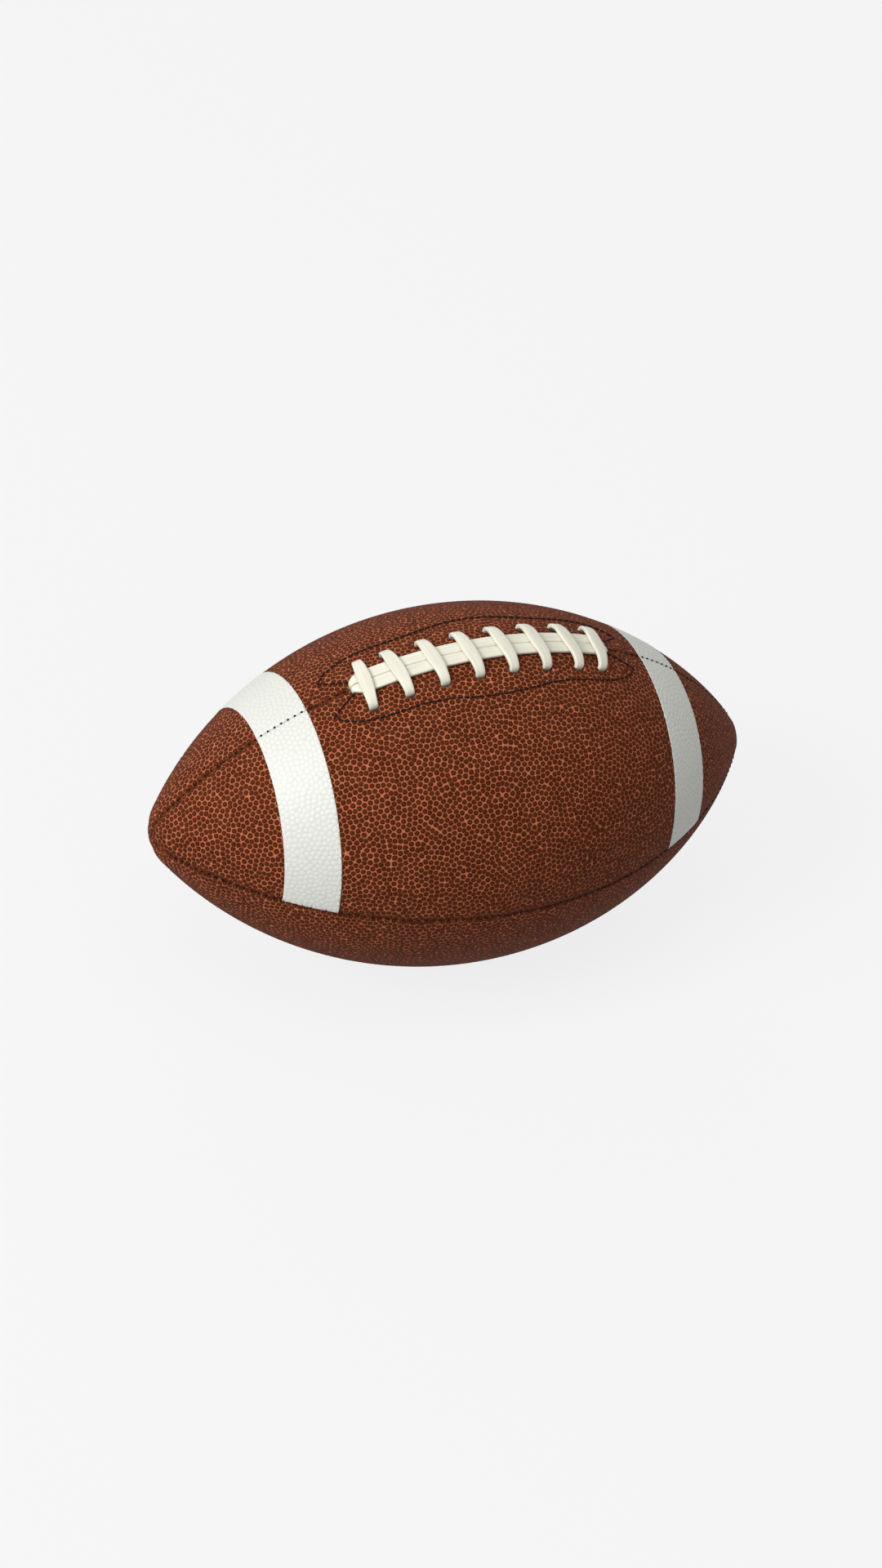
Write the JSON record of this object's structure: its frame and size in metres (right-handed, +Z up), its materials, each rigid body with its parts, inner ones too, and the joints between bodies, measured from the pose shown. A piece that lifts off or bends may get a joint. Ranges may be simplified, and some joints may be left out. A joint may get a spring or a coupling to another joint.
{
  "type": "american football",
  "caption": "Pointed oval ball: sewn pebbled leather panels over a sealed bladder, with a raised lace along the top seam and pale stripes near both points.",
  "frame": {"origin": "on the surface the ball lies on, under the middle of its length and width", "axes": "+X along the ball's length toward its right point, +Z up through the lacing, -Y toward the viewer"},
  "size_m": [0.288, 0.163, 0.1673],
  "materials": {
    "cover_leather": "pebbled, satin tops",
    "lining_fabric": "woven, matt",
    "bladder_rubber": "smooth, satin",
    "housing_rubber": "smooth, matt",
    "plug_rubber": "smooth, matt",
    "lace_vinyl": "ivory vinyl, semi-gloss",
    "backing_fabric": "woven, matt",
    "guard_fabric": "coated weave, matt",
    "stripe_paint": "off-white coating, matt",
    "seam_thread": "waxed thread",
    "stitch_thread": "waxed black thread"
  },
  "bodies": {
    "root": {"cover_panel_upper_front": "cover_leather", "cover_panel_upper_rear": "cover_leather", "cover_panel_lower_front": "cover_leather", "cover_panel_lower_rear": "cover_leather", "lining_upper_front": "lining_fabric", "lining_upper_rear": "lining_fabric", "lining_lower_front": "lining_fabric", "lining_lower_rear": "lining_fabric", "bladder": "bladder_rubber", "valve_housing": "housing_rubber", "valve_plug": "plug_rubber", "lace": "lace_vinyl", "lace_backing_front": "backing_fabric", "lace_backing_rear": "backing_fabric", "lace_guard": "guard_fabric", "stripe_left_front": "stripe_paint", "stripe_left_rear": "stripe_paint", "stripe_right_front": "stripe_paint", "stripe_right_rear": "stripe_paint", "seam_thread_front": "seam_thread", "seam_thread_rear": "seam_thread", "seam_thread_bottom": "seam_thread", "seam_thread_top_left": "seam_thread", "seam_thread_top_right": "seam_thread", "backing_stitches_front": "stitch_thread", "backing_stitches_rear": "stitch_thread"}
  },
  "joints": []
}
